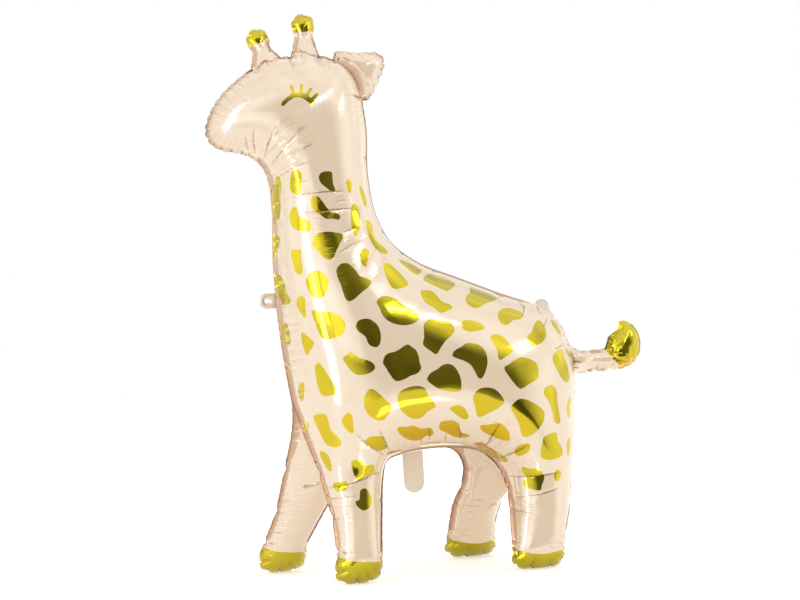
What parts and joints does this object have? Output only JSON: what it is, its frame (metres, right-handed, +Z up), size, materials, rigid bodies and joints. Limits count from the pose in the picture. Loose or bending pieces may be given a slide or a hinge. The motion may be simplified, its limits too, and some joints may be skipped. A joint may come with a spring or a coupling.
{
  "type": "giraffe foil balloon",
  "caption": "Standing giraffe balloon of metallised film with gold spots, horns, folded ear, curled tail, welded seams and a flat valve tongue.",
  "frame": {"origin": "on the ground, under the middle of the balloon's length and width", "axes": "+Z up, -X towards the nose, +X towards the tail, -Y is the balloon's near side as the picture shows it"},
  "size_m": [0.7628, 0.3098, 0.9805],
  "materials": {
    "pearl_foil": "metallised film with a cream pearl print and mirror-gold spots, horn tips, feet and tail tuft",
    "valve_film": "soft matte film"
  },
  "bodies": {
    "root": {"balloon_envelope": "pearl_foil", "valve_tongue": "valve_film"}
  },
  "joints": []
}
